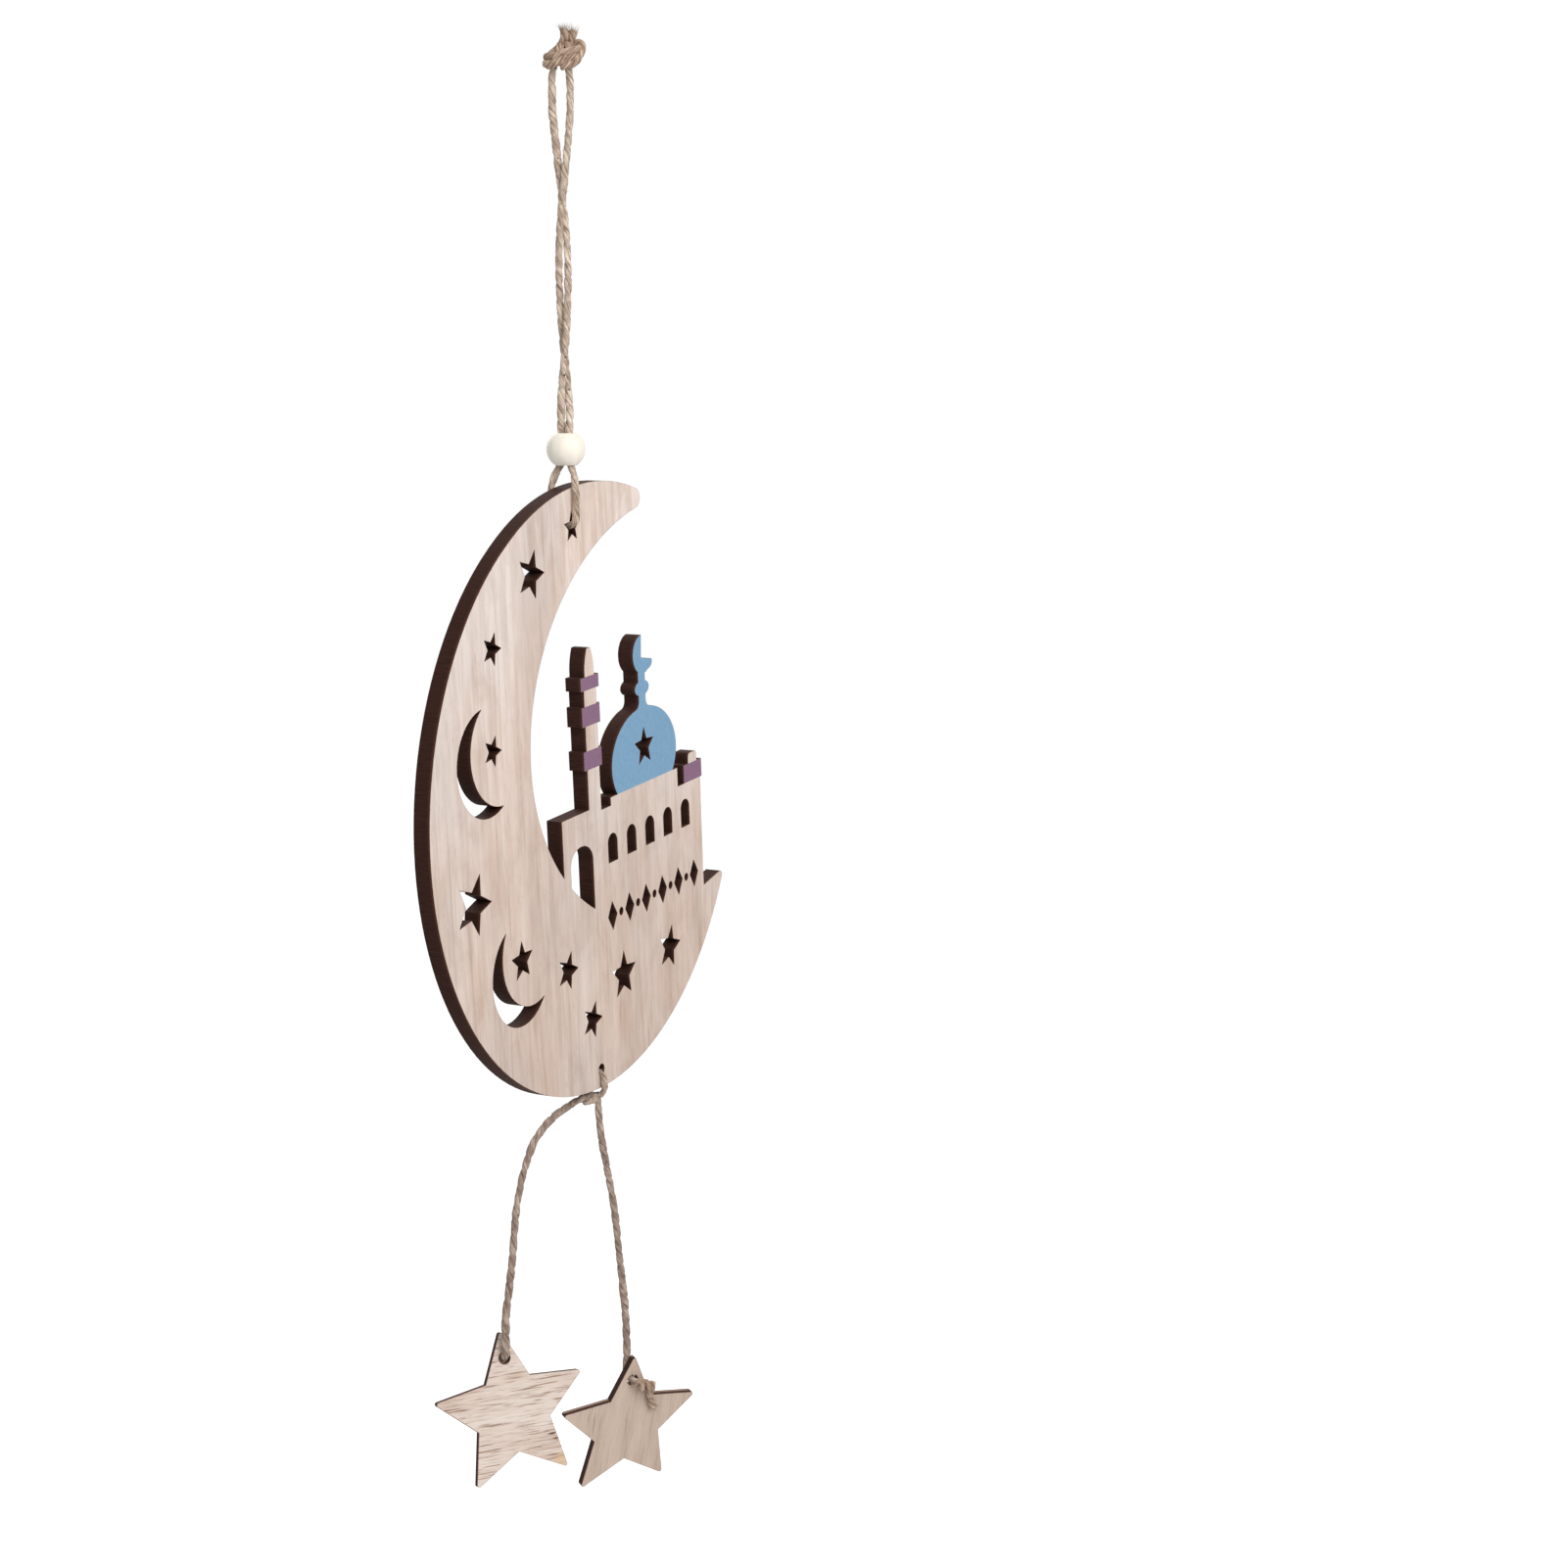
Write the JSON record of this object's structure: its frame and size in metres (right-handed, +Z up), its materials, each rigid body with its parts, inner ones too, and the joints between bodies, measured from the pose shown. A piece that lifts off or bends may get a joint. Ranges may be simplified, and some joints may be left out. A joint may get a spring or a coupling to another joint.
{
  "type": "hanging crescent ornament",
  "caption": "Flat wooden crescent ornament with a mosque silhouette and pierced stars, hung on a beaded jute loop, with star pendants swinging from jute tails.",
  "frame": {"origin": "Top of the hanging loop, midway between its legs and right under its knot, where a hook carries the ornament.", "axes": "+Z up along the hanging cord, +X to the right seen from the board's painted face, +Y to the back; the painted face looks along -Y."},
  "size_m": [0.1517, 0.0349, 0.3875],
  "materials": {
    "board": "pale board with a fine grain, charred laser-cut edges, a matt blue dome and mauve tower bands",
    "bead": "smooth ivory satin",
    "left_star": "warm beige with brown streaks and charred edges",
    "right_star": "greyish beige with a soft grain and charred edges",
    "jute": "two-ply natural jute twine, fuzzy"
  },
  "bodies": {
    "hanger": {"top_knot": "jute", "hanging_cord": "jute"},
    "lower_cord": {"cord_bight": "jute"},
    "bead": {"bead": "bead"},
    "panel": {"crescent_panel": "board", "tail_hitch": "jute"},
    "left_tail": {"left_tail_cord": "jute"},
    "right_tail": {"right_tail_cord": "jute"},
    "left_star": {"left_star": "left_star", "left_star_knot": "jute"},
    "right_star": {"right_star": "right_star", "right_star_knot": "jute"}
  },
  "joints": [
    {"name": "panel_twist", "type": "hinge", "parent": "hanger", "child": "lower_cord", "pos_m": [0, 0, -0.0923], "axis": [0, 0, 1], "range_deg": [-90, 90]},
    {"name": "bead_slide", "type": "slide", "parent": "lower_cord", "child": "bead", "axis": [0, 0, 1], "range_m": [0, 0.06]},
    {"name": "panel_rock", "type": "hinge", "parent": "lower_cord", "child": "panel", "pos_m": [0, 0.0008, -0.11195], "axis": [0, 1, 0], "range_deg": [-15, 15]},
    {"name": "left_tail_swing", "type": "hinge", "parent": "panel", "child": "left_tail", "pos_m": [0.01206, 0.0008, -0.2641], "axis": [-0.9942, 0.1073, 0], "range_deg": [-20, 20]},
    {"name": "right_tail_swing", "type": "hinge", "parent": "panel", "child": "right_tail", "pos_m": [0.01206, 0.0008, -0.2641], "axis": [0.8929, -0.4502, 0], "range_deg": [-20, 20]},
    {"name": "left_star_spin", "type": "hinge", "parent": "left_tail", "child": "left_star", "pos_m": [-0.02644, 0.00605, -0.3173], "axis": [0, 0, 1], "range_deg": [-180, 180]},
    {"name": "right_star_spin", "type": "hinge", "parent": "right_tail", "child": "right_star", "pos_m": [0.02086, -0.0034, -0.337], "axis": [0, 0, 1], "range_deg": [-180, 180]}
  ]
}
